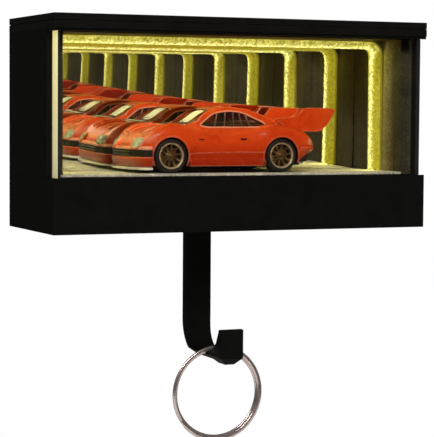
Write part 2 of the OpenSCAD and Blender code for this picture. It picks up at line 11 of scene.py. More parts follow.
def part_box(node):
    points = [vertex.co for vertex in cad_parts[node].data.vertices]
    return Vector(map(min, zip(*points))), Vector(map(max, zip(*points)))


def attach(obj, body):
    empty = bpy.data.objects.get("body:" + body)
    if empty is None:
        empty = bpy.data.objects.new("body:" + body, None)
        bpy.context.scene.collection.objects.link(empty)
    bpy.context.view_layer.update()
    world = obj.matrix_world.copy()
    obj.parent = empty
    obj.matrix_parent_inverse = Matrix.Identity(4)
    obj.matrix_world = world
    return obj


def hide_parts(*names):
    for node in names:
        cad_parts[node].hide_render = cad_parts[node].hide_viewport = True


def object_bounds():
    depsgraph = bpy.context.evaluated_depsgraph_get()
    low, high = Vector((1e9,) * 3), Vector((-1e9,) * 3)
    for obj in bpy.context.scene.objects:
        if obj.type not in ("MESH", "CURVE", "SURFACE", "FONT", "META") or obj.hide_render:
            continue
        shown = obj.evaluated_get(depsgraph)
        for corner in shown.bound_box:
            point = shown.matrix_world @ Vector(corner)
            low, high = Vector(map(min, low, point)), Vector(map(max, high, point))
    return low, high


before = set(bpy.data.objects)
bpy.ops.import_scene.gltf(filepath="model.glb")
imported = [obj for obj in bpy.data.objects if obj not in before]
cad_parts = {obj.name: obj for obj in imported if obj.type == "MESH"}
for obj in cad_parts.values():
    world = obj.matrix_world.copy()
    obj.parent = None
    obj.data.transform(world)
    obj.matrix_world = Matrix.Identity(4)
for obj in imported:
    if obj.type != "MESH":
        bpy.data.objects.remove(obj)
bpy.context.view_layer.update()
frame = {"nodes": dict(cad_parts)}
nodes = frame["nodes"]
MM = 0.001
scene = bpy.context.scene


def linked(name, data):
    """A new object in the scene."""
    made = bpy.data.objects.new(name, data)
    scene.collection.objects.link(made)
    return made


# ---- camera and light

TUNNEL_BOUNCES = 48

# Camera: place in metres, turn in degrees, focal length and sensor width in millimetres
CAMERA_AT = Vector((-0.21645, -0.52058, 0.00486))
CAMERA_YAW, CAMERA_PITCH, CAMERA_ROLL = (radians(a) for a in (23.41, -3.56, 0.373))
LENS, SENSOR = 146.2, 36.0


def make_camera():
    """Camera at the photograph's viewing angle: it stands to the left and looks back and a little down."""
    level_ahead = Vector((sin(CAMERA_YAW), cos(CAMERA_YAW), 0))
    level_right = Vector((cos(CAMERA_YAW), -sin(CAMERA_YAW), 0))
    ahead = level_ahead * cos(CAMERA_PITCH) + Vector((0, 0, sin(CAMERA_PITCH)))
    level_up = level_right.cross(ahead)
    right = level_right * cos(CAMERA_ROLL) + level_up * sin(CAMERA_ROLL)
    up = right.cross(ahead)
    data = bpy.data.cameras.new("camera")
    data.lens, data.sensor_width, data.clip_start = LENS, SENSOR, 0.01
    camera = linked("camera", data)
    camera.matrix_world = Matrix.Translation(CAMERA_AT) @ Matrix((right, up, -ahead)).transposed().to_4x4()
    scene.camera = camera


def area_light(name, at, aim, size, power, colour=(1, 1, 1)):
    data = bpy.data.lights.new(name, "AREA")
    data.shape = "RECTANGLE"
    data.size, data.size_y = size
    data.energy = power
    data.color = colour
    lamp = linked(name, data)
    lamp.location = at
    lamp.rotation_euler = (Vector(aim) - Vector(at)).to_track_quat("-Z", "Y").to_euler()
    lamp.visible_camera = False
    return lamp


def make_lights():
    """Soft studio light: a large key over the front, a thin lamp for the highlights, and two weak fills."""
    key = area_light("key", (-0.22, -0.85, 0.5), (0, -0.02, 0), (0.5, 0.35), 5.5, (1, 0.98, 0.95))
    key.visible_glossy = False
    area_light("highlight", (-0.35, -0.6, 0.42), (0, -0.02, 0), (0.7, 0.04), 3.2, (1, 0.96, 0.92))
    fill = area_light("fill", (0.7, -0.6, 0.15), (0, 0, 0), (0.4, 0.6), 2.0, (0.96, 0.98, 1))
    fill.visible_glossy = False
    area_light("top", (0.0, -0.1, 0.7), (0, 0, 0), (0.6, 0.4), 1.5)


def make_world():
    """A pale studio: white where the camera sees it, and dim and graded where surfaces mirror it."""
    s = Shader("studio", world=True)
    rise = s.add("SeparateXYZ", {0: s.add("TexCoord").outputs["Generated"]}).outputs["Z"]
    ramp = s.add("ValToRGB", {0: s.plus(s.times(rise, 0.5), 0.5)})
    below, above = ramp.color_ramp.elements
    below.position, below.color = 0.3, (0.05, 0.05, 0.05, 1)
    above.position, above.color = 0.9, (0.9, 0.9, 0.9, 1)
    around = s.add("Background", {"Color": ramp.outputs["Color"], "Strength": 0.16})
    seen = s.add("Background", {"Color": (1, 1, 1, 1), "Strength": 1.0})
    scene.world = s.surface(s.mixed(s.ray("Is Camera Ray"), around, seen))


def set_bounces():
    """Each repeat in the mirror tunnel takes two more bounces, so the paths are long."""
    cycles = scene.cycles
    cycles.max_bounces = cycles.glossy_bounces = cycles.transparent_max_bounces = TUNNEL_BOUNCES
    cycles.transmission_bounces = 8
    cycles.diffuse_bounces = 3
    cycles.sample_clamp_indirect = 6.0
    scene.view_settings.view_transform = "Standard"


# ---- materials

class Shader:
    """The nodes of a material, or of the world, with short ways to add and join them."""

    def __init__(self, name, world=False):
        self.owner = (bpy.data.worlds if world else bpy.data.materials).new(name)
        self.owner.use_nodes = True
        self.tree = self.owner.node_tree
        self.tree.nodes.clear()
        self.out = self.add("OutputWorld" if world else "OutputMaterial")

    def add(self, kind, inputs=None, **settings):
        """A new node. inputs gives its sockets a value or a link, by name or number."""
        node = self.tree.nodes.new("ShaderNode" + kind)
        for key, value in settings.items():
            setattr(node, key, value)
        for key, value in (inputs or {}).items():
            if isinstance(value, bpy.types.NodeSocket):
                self.tree.links.new(value, node.inputs[key])
            else:
                node.inputs[key].default_value = value
        return node

    def surface(self, shader):
        """Ends the tree with a shader node."""
        self.tree.links.new(shader.outputs[0], self.out.inputs["Surface"])
        return self.owner

    def principled(self, values):
        return self.surface(self.add("BsdfPrincipled", values))

    def mixed(self, share, first, second):
        """A shader that goes from first to second as share goes from 0 to 1."""
        return self.add("MixShader", {0: share, 1: first.outputs[0], 2: second.outputs[0]})

    def dusty(self, clear, dust, size, low, high, most):
        """A clear shader with a little dust: most of it where the noise reaches high."""
        share = self.fit(self.noise(size, 5, 0.8), low, high, 0.0, most)
        clear = self.add("BsdfTransparent", {"Color": (*clear, 1)})
        return self.mixed(share, clear, self.add("BsdfDiffuse", {"Color": (*dust, 1)}))

    def ray(self, kind):
        """1 for rays of a kind and 0 for the others."""
        return self.add("LightPath").outputs[kind]

    def coords(self, stretch=(1, 1, 1)):
        """Object coordinates in millimetres, stretched by a factor along each axis."""
        where = self.add("TexCoord").outputs["Object"]
        scale = tuple(1 / MM * s for s in stretch)
        return self.add("Mapping", {"Vector": where, "Scale": scale}).outputs[0]

    def axes(self):
        """The three object coordinates in millimetres."""
        return self.add("SeparateXYZ", {0: self.coords()}).outputs

    def noise(self, size, detail=4.0, rough=0.55, stretch=(1, 1, 1)):
        """Soft noise whose features are about size millimetres across."""
        inputs = {"Vector": self.coords(stretch), "Scale": 1 / size, "Detail": detail, "Roughness": rough}
        return self.add("TexNoise", inputs).outputs["Fac"]

    def cells(self, size, randomness=1.0):
        """Distance from the middle of cells that are about size millimetres across."""
        inputs = {"Vector": self.coords(), "Scale": 1 / size, "Randomness": randomness}
        return self.add("TexVoronoi", inputs).outputs["Distance"]

    def fit(self, value, low, high, out_low=0.0, out_high=1.0):
        """Value moved from the range low to high to the range out_low to out_high, and held inside it."""
        inputs = {"Value": value, "From Min": low, "From Max": high, "To Min": out_low, "To Max": out_high}
        return self.add("MapRange", inputs).outputs[0]

    def blend(self, share, first, second, **settings):
        """Colour that goes from first to second as share goes from 0 to 1."""
        ends = [c if isinstance(c, bpy.types.NodeSocket) else (*c, 1) for c in (first, second)]
        return self.add("Mix", {0: share, 6: ends[0], 7: ends[1]}, data_type="RGBA", **settings).outputs[2]

    def math(self, operation, first, second=0.0):
        return self.add("Math", {0: first, 1: second}, operation=operation).outputs[0]

    def times(self, first, second):
        return self.math("MULTIPLY", first, second)

    def plus(self, first, second):
        return self.math("ADD", first, second)

    def minus(self, first, second):
        return self.math("SUBTRACT", first, second)

    def bump(self, height, strength, distance):
        """Normal for a relief whose full height is distance millimetres."""
        inputs = {"Height": height, "Strength": strength, "Distance": distance * MM}
        return self.add("Bump", inputs).outputs[0]

    def edges(self, radius):
        """1 on convex and concave edges and 0 on flats, from normals rounded over radius millimetres."""
        rounded = self.add("Bevel", {"Radius": radius * MM}, samples=4).outputs[0]
        flat = self.add("NewGeometry").outputs["Normal"]
        turn = self.add("VectorMath", {0: rounded, 1: flat}, operation="DOT_PRODUCT").outputs["Value"]
        return self.fit(turn, 0.995, 0.85)


def tone(colour, factor):
    """A colour made darker or brighter by a factor."""
    return tuple(min(c * factor, 1) for c in colour)


def plain(name, colour, rough, grain=0.3, depth=0.01, patch=6.0, spread=0.2, edge_wear_and_highlight=None, **sockets):
    """Paint, plastic or metal: patchy colour and gloss, a fine grain, and edges paled towards an edge
    colour, partly rubbed paint and partly a painted highlight.
    """
    s = Shader(name)
    patches = s.noise(patch, 5, 0.6)
    fine = s.noise(grain, 3, 0.6)
    base = s.blend(s.fit(patches, 0.3, 0.7), tone(colour, 1 - spread), tone(colour, 1 + spread))
    if edge_wear_and_highlight:
        # Paler edges: partly rubbed paint, partly a painted highlight.
        worn_and_highlit = s.times(s.edges(0.25), s.fit(s.noise(1.8, 4, 0.7), 0.45, 0.75, 0, 0.7))
        base = s.blend(worn_and_highlit, base, edge_wear_and_highlight)
    gloss = s.fit(s.plus(patches, fine), 0.6, 1.4, rough * 0.82, min(rough * 1.18, 1))
    values = {"Base Color": base, "Roughness": gloss, "Normal": s.bump(fine, 0.6, depth)}
    values.update({key.replace("_", " "): value for key, value in sockets.items()})
    return s.principled(values)


# Front of the wall lining and of the light arch, in millimetres
Y_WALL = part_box("left_liner")[0].y / MM
ARCH_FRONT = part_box("led_phosphor")[0].y / MM


def concrete_material(name, colour, streak=0.0, front=1.0, painted_arch_light=1.0):
    """Concrete-look print of clouds, specks, streaks and pits.

    Where the camera sees it directly, front is a painted change of shade near the pane, and the light of
    the arch is painted on the wall just before it.
    """
    s = Shader(name)
    depth = s.axes()["Y"]
    clouds = s.noise(7, 6, 0.65)
    specks = s.noise(0.7, 3, 0.7)
    pits = s.cells(1.6)
    streaks = s.noise(2.2, 4, 0.6, stretch=(1, 1, 0.12))
    base = s.blend(s.fit(clouds, 0.3, 0.72), tone(colour, 0.6), tone(colour, 1.45))
    base = s.blend(s.fit(specks, 0.53, 0.66, 0, 0.7), base, tone(colour, 2.2))
    base = s.blend(s.fit(streaks, 0.5, 0.75, 0, streak), base, tone(colour, 0.45))
    base = s.blend(s.fit(pits, 0.16, 0.05, 0, 0.6), base, tone(colour, 0.3))
    # Painted light and shade, for camera rays only: front scales the shade near the pane, and the wall just
    # before the arch is lit up as if by it.
    direct = s.ray("Is Camera Ray")
    painted_front_shade_mask = s.times(s.fit(depth, Y_WALL + 17, Y_WALL + 11), direct)
    before_arch = s.fit(depth, ARCH_FRONT - 9, ARCH_FRONT - 1)
    painted_arch_light_mask = s.times(s.times(before_arch, s.fit(depth, ARCH_FRONT + 5, ARCH_FRONT + 4)), direct)
    shade = s.times(s.fit(painted_front_shade_mask, 0, 1, 1.0, front), s.fit(painted_arch_light_mask, 0, 1, 1.0, painted_arch_light))
    grey = s.add("CombineColor", {0: shade, 1: shade, 2: shade}).outputs[0]
    base = s.blend(1.0, base, grey, blend_type="MULTIPLY")
    height = s.minus(s.times(clouds, 0.5), s.fit(pits, 0.22, 0.05))
    return s.principled({
        "Base Color": base,
        "Roughness": s.fit(clouds, 0.3, 0.7, 0.62, 0.85),
        "Normal": s.bump(s.plus(height, s.times(specks, 0.4)), 0.7, 0.08),
        "Specular IOR Level": 0.25,
    })


def acrylic_material():
    """Clear polished acrylic: what is behind it shows with a faint warm tint. It mirrors at low angles."""
    s = Shader("acrylic_clear")
    gloss = s.add("BsdfGlossy", {"Roughness": s.fit(s.noise(14, 3, 0.5), 0.35, 0.7, 0.03, 0.09)})
    share = s.add("Fresnel", {"IOR": 1.25}).outputs[0]
    clear = s.dusty((0.97, 0.97, 0.94), (0.6, 0.58, 0.5), 0.4, 0.6, 0.85, 0.02)
    return s.surface(s.mixed(s.times(share, 0.8), clear, gloss))


def acrylic_edge_material(low, high):
    """The pane's sawn edge, with the arch's light painted on as a glow: bright cream at the top, greyer
    towards the foot.
    """
    s = Shader("acrylic_edge")
    rise = s.fit(s.axes()["Z"], low, high)
    saw = s.noise(0.5, 4, 0.7, stretch=(1, 1, 0.3))
    # Painted light: the glow that the arch's light gives the edge.
    glow = s.blend(rise, (0.4, 0.35, 0.17), (0.92, 0.79, 0.25))
    glow = s.blend(s.fit(saw, 0.35, 0.75, 0, 0.25), glow, (0.98, 0.93, 0.6))
    return s.principled({
        "Base Color": s.blend(saw, (0.38, 0.36, 0.26), (0.55, 0.5, 0.36)),
        "Roughness": s.fit(saw, 0.3, 0.7, 0.25, 0.5),
        "Normal": s.bump(saw, 0.4, 0.05),
        "Emission Color": glow,
        "Emission Strength": 0.75,
    })


def film_material():
    """Half-silvered film: clear from the front and for light that comes in, a mirror on the inside."""
    s = Shader("half_mirror")
    behind = s.add("NewGeometry").outputs["Backfacing"]
    lamp = s.ray("Is Shadow Ray")
    clear = s.add("BsdfTransparent", {"Color": (0.96, 0.96, 0.95, 1)})
    silver = s.add("BsdfGlossy", {"Color": (0.98, 0.98, 0.95, 1), "Roughness": 0.0})
    smear = s.fit(s.noise(9, 4, 0.6), 0.3, 0.7, 0.9, 0.96)
    share = s.times(s.minus(1.0, s.math("MAXIMUM", behind, lamp)), smear)
    return s.surface(s.mixed(share, clear, silver))


def mirror_material():
    """Silvered acrylic with faint smears."""
    s = Shader("rear_mirror")
    smears = s.noise(11, 4, 0.6)
    return s.principled({
        "Base Color": s.blend(smears, (0.95, 0.95, 0.92), (0.98, 0.98, 0.96)),
        "Metallic": 1.0,
        "Roughness": s.fit(smears, 0.3, 0.7, 0.0, 0.012),
    })


LAMP_BOOST = 13.0


def glow_material(middle, half, top):
    """Lit phosphor: a near-white core of closely set chips along the crest, olive yellow at both edges.

    The crest runs near the middle of the legs and further forward under the ceiling. The strip lights the
    walls by more than its own shade shows, as a lamp does that is brighter than white.
    """
    s = Shader("led_glow")
    where = s.axes()
    crest = s.fit(where["Z"], top - 6, top - 3, middle - half * 0.12, middle - half * 0.5)
    off = s.math("ABSOLUTE", s.minus(where["Y"], crest))
    core = s.fit(off, half * 0.7, half * 0.05)
    chips = s.fit(s.cells(0.9, randomness=0.8), 0.62, 0.2)
    lumps = s.noise(0.9, 4, 0.75)
    spots = s.plus(s.times(chips, 0.5), s.fit(lumps, 0.38, 0.62, 0.2, 0.65))
    hot = s.times(core, spots)
    side = s.blend(s.fit(lumps, 0.38, 0.62), (0.22, 0.19, 0.007), (0.5, 0.45, 0.03))
    boost = s.fit(s.ray("Is Diffuse Ray"), 0.0, 1.0, 1.0, LAMP_BOOST)
    strength = s.fit(hot, 0.0, 0.9, 0.9, 2.0)
    return s.principled({
        "Base Color": (0.2, 0.17, 0.02, 1),
        "Roughness": s.fit(lumps, 0.3, 0.7, 0.3, 0.5),
        "Normal": s.bump(lumps, 0.8, 0.15),
        "Emission Color": s.blend(s.fit(hot, 0.1, 0.75), side, (0.96, 0.93, 0.36)),
        "Emission Strength": s.times(strength, boost),
    })


def tape_material():
    """The strip's tape, yellow, with the strip's light painted on as a faint glow."""
    s = Shader("led_tape")
    lumps = s.noise(0.5, 4, 0.7)
    return s.principled({
        "Base Color": s.blend(lumps, (0.1, 0.08, 0.015), (0.16, 0.13, 0.03)),
        "Roughness": s.fit(lumps, 0.3, 0.7, 0.35, 0.6),
        "Normal": s.bump(lumps, 0.5, 0.05),
        # Painted light: a faint glow from the strip.
        "Emission Color": (0.55, 0.46, 0.05, 1),
        "Emission Strength": 0.12,
    })


def paint_material():
    """Orange-red enamel under a clear coat, with painted shade darkening it towards the sills, a painted
    pale highlight on the nose, and edges paled partly as rubbed paint and partly as a painted highlight.
    """
    s = Shader("car_orange")
    flakes = s.noise(0.35, 3, 0.6)
    patches = s.noise(7, 4, 0.5)
    base = s.blend(s.fit(patches, 0.3, 0.7), (0.54, 0.044, 0.005), (0.7, 0.075, 0.009))
    where = s.axes()
    height = where["Z"]
    # Painted shade: darker towards the sills.
    base = s.blend(s.fit(height, Z_ROAD + 9.5, Z_ROAD + 3.5, 0, 0.75), base, (0.26, 0.014, 0.003))
    # Painted highlight: a pale patch on the top of the nose.
    nose = s.times(s.fit(where["X"], -25, -29.5, 0, 0.5), s.fit(height, Z_ROAD + 8.3, Z_ROAD + 10))
    base = s.blend(nose, base, (0.95, 0.5, 0.36))
    # Paler edges: partly rubbed paint, partly a painted highlight.
    worn_and_highlit = s.times(s.edges(0.45), s.fit(s.noise(2.4, 4, 0.7), 0.35, 0.6, 0.15, 0.7))
    base = s.blend(worn_and_highlit, base, (0.95, 0.42, 0.28))
    return s.principled({
        "Base Color": base,
        "Roughness": s.fit(patches, 0.3, 0.7, 0.24, 0.34),
        "Normal": s.bump(flakes, 0.25, 0.012),
        "Specular IOR Level": 0.3,
        "Coat Weight": 0.3,
        "Coat Roughness": 0.12,
    })


def film_clear_material():
    """Front and edges of the film: clear, with a faint grey tint and dust."""
    s = Shader("film_clear")
    return s.surface(s.dusty((0.98, 0.98, 0.97), (0.4, 0.4, 0.38), 0.6, 0.6, 0.9, 0.01))


def screen_material():
    """Smoked glazing that shows the seats a little, with a pale strip across the windscreen that is a
    painted reflection.
    """
    s = Shader("car_glass")
    where = s.axes()
    ahead = s.fit(where["X"], -5.4, -5.8)
    off_middle = s.math("ABSOLUTE", s.minus(where["Y"], Y_CAR - 0.6))
    # Painted reflection: a plain pale band across the windscreen.
    strip = s.times(ahead, s.fit(off_middle, 3.5, 3.3))
    strip = s.times(strip, s.fit(where["Z"], 14.9 + Z_ROAD, 15.1 + Z_ROAD))
    smoke = s.blend(s.noise(2.5, 4, 0.6), (0.012, 0.005, 0.004), (0.045, 0.014, 0.011))
    return s.principled({
        "Base Color": s.blend(strip, smoke, (0.93, 0.93, 0.9)),
        "Roughness": s.fit(s.noise(3, 3, 0.5), 0.3, 0.7, 0.06, 0.16),
        "Normal": s.bump(s.noise(0.5, 2, 0.5), 0.2, 0.01),
        "Alpha": s.fit(strip, 0, 1, 0.45, 1),
    })


# ---- mesh building

def angles(count):
    """Angles of a full turn in equal steps."""
    return [2 * pi * k / count for k in range(count)]


def ended(bm, name, materials, smooth):
    """Makes a mesh an object, with sharp edges between faces that meet at more than smooth degrees."""
    mesh = bpy.data.meshes.new(name)
    bm.to_mesh(mesh)
    bm.free()
    shade(mesh, smooth)
    for material in materials:
        mesh.materials.append(material)
    return linked(name, mesh)


def round_edges(bm, edges, radius, **settings):
    bmesh.ops.bevel(bm, geom=edges, offset=radius, segments=3, profile=0.5, affect="EDGES", **settings)


def heading(path, k):
    """Direction of a path at its point number k."""
    return (Vector(path[min(k + 1, len(path) - 1)]) - Vector(path[max(k - 1, 0)])).normalized()


def shade(mesh, smooth):
    mesh.shade_smooth()
    mesh.set_sharp_from_angle(angle=radians(smooth))


class Shape:
    """A mesh under construction, in millimetres of the row frame. material is a number in thing's list."""

    def __init__(self):
        self.bm = bmesh.new()

    def skin(self, rows, around=True, caps=True, material=0):
        """Faces between rows of points. around closes each row on itself, caps closes the two end rows."""
        grid = [[self.bm.verts.new(p) for p in row] for row in rows]
        count = len(grid[0])
        for near, far in zip(grid, grid[1:]):
            for i in range(count if around else count - 1):
                j = (i + 1) % count
                self.bm.faces.new((near[i], near[j], far[j], far[i])).material_index = material
        if caps:
            self.bm.faces.new(reversed(grid[0])).material_index = material
            self.bm.faces.new(grid[-1]).material_index = material
        return self

    def spun(self, centre, profile, side, steps=64, material=0):
        """Turns a closed profile of (radius, outwards) points about Y, on the side -1 or 1 of the car."""
        x, y, z = centre
        rows = [
            [(x + r * cos(a), y + side * out, z + r * sin(a)) for r, out in profile]
            for a in angles(steps) + [0.0]
        ]
        self.skin(rows, caps=False, material=material)
        bmesh.ops.remove_doubles(self.bm, verts=self.bm.verts, dist=0.0005)

    def tube(self, path, radius, sides=8, flat=1.0, material=0):
        """A round bar along a path, flattened across by the factor flat, with capped ends."""
        rows = []
        for k, point in enumerate(path):
            ahead = heading(path, k)
            level = Vector((0, 1, 0)) if abs(ahead.y) < 0.9 else Vector((1, 0, 0))
            up = ahead.cross(level).normalized()
            level = up.cross(ahead)
            rows.append([
                Vector(point) + up * radius * cos(a) + level * radius * flat * sin(a)
                for a in angles(sides)
            ])
        self.skin(rows, material=material)

    def box(self, low, high, round_by=0.0, material=0):
        """A block between two corners, with its edges rounded."""
        made = bmesh.ops.create_cube(self.bm, size=1)["verts"]
        size = Vector(high) - Vector(low)
        for v in made:
            v.co = Vector(low) + Vector(((v.co[i] + 0.5) * size[i] for i in range(3)))
        edges = list({e for v in made for e in v.link_edges})
        for face in {f for v in made for f in v.link_faces}:
            face.material_index = material
        if round_by:
            round_edges(self.bm, edges, round_by)
        return self

    def thing(self, name, *materials, smooth=40):
        """Ends the mesh and makes it an object in metres."""
        bmesh.ops.recalc_face_normals(self.bm, faces=self.bm.faces)
        bmesh.ops.scale(self.bm, vec=(MM, MM, MM), verts=self.bm.verts)
        return ended(self.bm, name, materials, smooth)


def curve(points):
    """A smooth function through (x, value) points that doesn't overshoot them."""
    xs, ys = zip(*points)
    steps = [(b - a) / (d - c) for a, b, c, d in zip(ys, ys[1:], xs, xs[1:])]
    slopes = [2 * a * b / (a + b) if a * b > 0 else 0 for a, b in zip(steps, steps[1:])]
    slopes = [steps[0], *slopes, steps[-1]]

    def value(x):
        x = min(max(x, xs[0]), xs[-1])
        k = max(i for i in range(len(xs) - 1) if xs[i] <= x)
        width = xs[k + 1] - xs[k]
        t = (x - xs[k]) / width
        return (
            ys[k] * (1 + 2 * t) * (1 - t) ** 2
            + ys[k + 1] * t * t * (3 - 2 * t)
            + width * (slopes[k] * t * (1 - t) ** 2 - slopes[k + 1] * t * t * (1 - t))
        )

    return value


def rounded(points, cut=0.25, passes=2, closed=False):
    """Cuts the corners off a line or outline of (a, b) points, so that it turns smoothly."""
    line = [Vector(p) for p in points]
    for _ in range(passes):
        ends = zip(line, line[1:] + line[:1] * closed)
        parts = [p for a, b in ends for p in (a * (1 - cut) + b * cut, a * cut + b * (1 - cut))]
        line = parts if closed else [line[0], *parts, line[-1]]
    return line


def evenly(low, high, count):
    """Values from low to high in equal steps, both ends included."""
    return [low + (high - low) * k / count for k in range(count + 1)]


def baked(thing):
    """Applies the modifiers."""
    graph = bpy.context.evaluated_depsgraph_get()
    mesh = bpy.data.meshes.new_from_object(thing.evaluated_get(graph))
    thing.modifiers.clear()
    thing.data = mesh
    return thing


def carve(thing, *cutters):
    """Cuts other objects out of a thing. The cut faces keep the cutter's material."""
    for cutter in cutters:
        change = thing.modifiers.new("carve", "BOOLEAN")
        change.operation = "DIFFERENCE"
        change.solver = "EXACT"
        change.material_mode = "TRANSFER"
        change.object = cutter
    baked(thing)
    for cutter in cutters:
        bpy.data.objects.remove(cutter)
    return thing


def shell(thing, thickness):
    """Gives a skin a thickness on its inner side."""
    change = thing.modifiers.new("shell", "SOLIDIFY")
    change.thickness = thickness * MM
    change.offset = -1
    change.use_even_offset = True
    return baked(thing)


def place(thing, body, slot, *nodes):
    """Sets the body that a thing rides on and hides the nodes that it stands for; slot is not used."""
    if nodes:
        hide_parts(*nodes)
    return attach(thing, body)


def box_mm(node):
    """Lowest and highest corner of a CAD part in millimetres."""
    low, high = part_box(node)
    return low / MM, high / MM


def middle_of(node):
    low, high = box_mm(node)
    return (low + high) / 2


# ---- cabinet

def softened(node, name, slot, material, radius=0.25, shortest=1.5, body="cabinet"):
    """A copy of a CAD part with those sharp edges rounded that are longer than shortest millimetres."""
    bm = bmesh.new()
    bm.from_mesh(nodes[node].data)
    bmesh.ops.remove_doubles(bm, verts=bm.verts, dist=1e-6)
    bmesh.ops.dissolve_limit(
        bm, angle_limit=radians(0.5), use_dissolve_boundaries=False, verts=bm.verts, edges=bm.edges
    )
    sharp = [
        e for e in bm.edges
        if len(e.link_faces) == 2 and e.calc_face_angle() > radians(50) and e.calc_length() > shortest * MM
    ]
    round_edges(bm, sharp, radius * MM, clamp_overlap=True)
    bmesh.ops.triangulate(bm, faces=[f for f in bm.faces if len(f.verts) > 4])
    made = ended(bm, name, [material], 35)
    flatten = made.modifiers.new("flatten", "WEIGHTED_NORMAL")
    flatten.weight = 100
    flatten.keep_sharp = True
    return place(baked(made), body, slot, node)


def make_case(black, lid_black):
    for node in ("base_housing", "back_panel", "left_wall", "right_wall", "base_cover"):
        softened(node, node + "_shell", "case_black", black)
    softened("roof_frame", "roof_frame_shell", "roof_black", lid_black, radius=0.2)
    softened("roof_lid", "roof_lid_plate", "roof_black", lid_black, radius=0.3)
    softened("top_rail", "top_rail_channel", "case_black", black, radius=0.12)
    softened("key_hook", "key_hook_bar", "hook_black", black, radius=0.35)
    softened("push_button", "push_button_cap", "switch_black", black, 0.2, 0.1, body="button")


def make_lining(card, floor, ceiling):
    for node in ("left_liner", "right_liner"):
        softened(node, node + "_card", "concrete", card, radius=0.12)
    softened("floor_panel", "floor_card", "floor_grey", floor, radius=0.15)
    softened("ceiling_panel", "ceiling_card", "concrete", ceiling, radius=0.1)


# The light arch: corner radius, height of its dome, distance between its rows and faces across the dome
GLOW_CORNER, GLOW_DEPTH, GLOW_STEP, GLOW_SIDES = 4.6, 2.2, 0.45, 12


def slab(name, node, materials, radius, choose):
    """A bevelled slab in a node's box. choose says which of the materials a face takes, from its normal."""
    low, high = box_mm(node)
    shape = Shape().box(low, high, radius)
    for face in shape.bm.faces:
        face.normal_update()
        face.material_index = choose(face.normal)
    return shape.thing(name, *materials, smooth=30)


def make_pane(clear, edge, black, film_clear, half_mirror):
    """The clear pane with a lit left and a black right end, and the film with the half mirror inside."""
    pane = slab(
        "front_pane_slab", "front_pane", (clear, edge, black), 0.25,
        lambda normal: 1 if normal.x < -0.6 else 2 if normal.x > 0.6 else 0,
    )
    place(pane, "pane", "acrylic", "front_pane")
    film = slab(
        "mirror_film_sheet", "mirror_film", (film_clear, half_mirror), 0.0,
        lambda normal: 1 if normal.y > 0.9 else 0,
    )
    place(film, "pane", "half_mirror", "mirror_film")


def arch_line(low, high, inward):
    """Points (x, z) of the light arch, from foot to foot over the top, at a distance inside its outline."""
    x, top, r = high.x - inward, high.z - inward, GLOW_CORNER - inward
    leg = evenly(low.z, high.z - GLOW_CORNER, int((high.z - GLOW_CORNER - low.z) / GLOW_STEP))
    bar = evenly(x - r, r - x, int((high.x - GLOW_CORNER) * 2 / GLOW_STEP))
    bend = [pi / 2 * k / 12 for k in range(1, 12)]
    return (
        [(x, z) for z in leg]
        + [(x - r + r * cos(a), top - r + r * sin(a)) for a in bend]
        + [(b, top) for b in bar]
        + [(-x + r - r * sin(a), top - r + r * cos(a)) for a in bend]
        + [(-x, z) for z in reversed(leg)]
    )


def make_lights_strip():
    """The phosphor: a lumpy dome swept up one wall, under the ceiling and down the other wall."""
    low, high = box_mm("led_phosphor")
    middle, half = (low.y + high.y) / 2, (high.y - low.y) / 2
    lumps = random.Random(7)
    columns = []
    for k in range(GLOW_SIDES + 1):
        a = pi * k / GLOW_SIDES
        inner = 0 < k < GLOW_SIDES
        rise = GLOW_DEPTH * (0.2 + 0.8 * sin(a) ** 0.8) if inner else 0.0
        columns.append([(x, middle - half * cos(a), z, inner) for x, z in arch_line(low, high, rise)])
    rows = []
    for ring in zip(*columns):
        row = []
        for x, y, z, inner in ring:
            lump = lumps.uniform(-0.12, 0.12) if inner else 0.0
            on_leg = abs(x) > high.x - 3
            row.append((x + lump * on_leg, y + lump, z + lump * (not on_leg)))
        rows.append(row)
    shape = Shape().skin(rows)
    dome = shape.thing("led_phosphor_dome", glow_material(middle, half, high.z), smooth=80)
    place(dome, "cabinet", "led_glow", "led_phosphor")


# The rear mirror: radius of its bow and height of its foremost line
MIRROR_BOW, MIRROR_CREST = 1600, 30


def make_mirror(silver):
    """The rear mirror, whose face is a little convex from floor to ceiling."""
    low, high = box_mm("back_mirror")
    rows = []
    for x in (low.x, high.x):
        face = [(x, low.y + (z - MIRROR_CREST) ** 2 / MIRROR_BOW / 2, z) for z in evenly(low.z, high.z, 96)]
        rows.append([(x, high.y, low.z), *face, (x, high.y, high.z)])
    mirror = Shape().skin(rows).thing("back_mirror_bowed", silver, smooth=30)
    place(mirror, "cabinet", "mirror", "back_mirror")


def make_ring(nickel):
    """A split ring: two turns of flattened wire side by side, with a jog where one passes to the other."""
    low, high = box_mm("key_ring")
    centre = (low + high) / 2
    wire = (high.y - low.y) / 2
    radius = (high.x - low.x) / 2 - wire
    start, turns, count = radians(215), 1.93, 260
    jog = curve(((0, -1), (0.86, -1), (1.07, 1), (2, 1)))
    rows = []
    for k in range(count + 1):
        share = k / count
        a = start + 2 * pi * turns * share
        out = Vector((cos(a), 0, sin(a)))
        side = jog(turns * share) * wire * 0.47
        lift = -jog(turns * share) * wire * 0.2
        end = min(share, 1 - share) * count
        size = min(1, 0.45 + end * 0.2)
        section = []
        for b in angles(14):
            across = wire * 0.76 * size * cos(b)
            along = wire * 0.45 * size * sin(b)
            section.append(centre + out * (radius + lift + across) + Vector((0, side + along, 0)))
        rows.append(section)
    shape = Shape().skin(rows)
    place(shape.thing("split_ring_coils", nickel, smooth=50), "ring", "ring_nickel", "key_ring")


# ---- model car

wheel_low, wheel_high = box_mm("front_tyres")
FRONT, Y_CAR, Z_HUB = middle_of("front_axle")
REAR = middle_of("rear_axle").x
TYRE = (wheel_high.x - wheel_low.x) / 2
Z_ROAD = Z_HUB - TYRE
Y_WHEEL = (wheel_high.y - wheel_low.y) / 2
ARCH = TYRE + 0.55

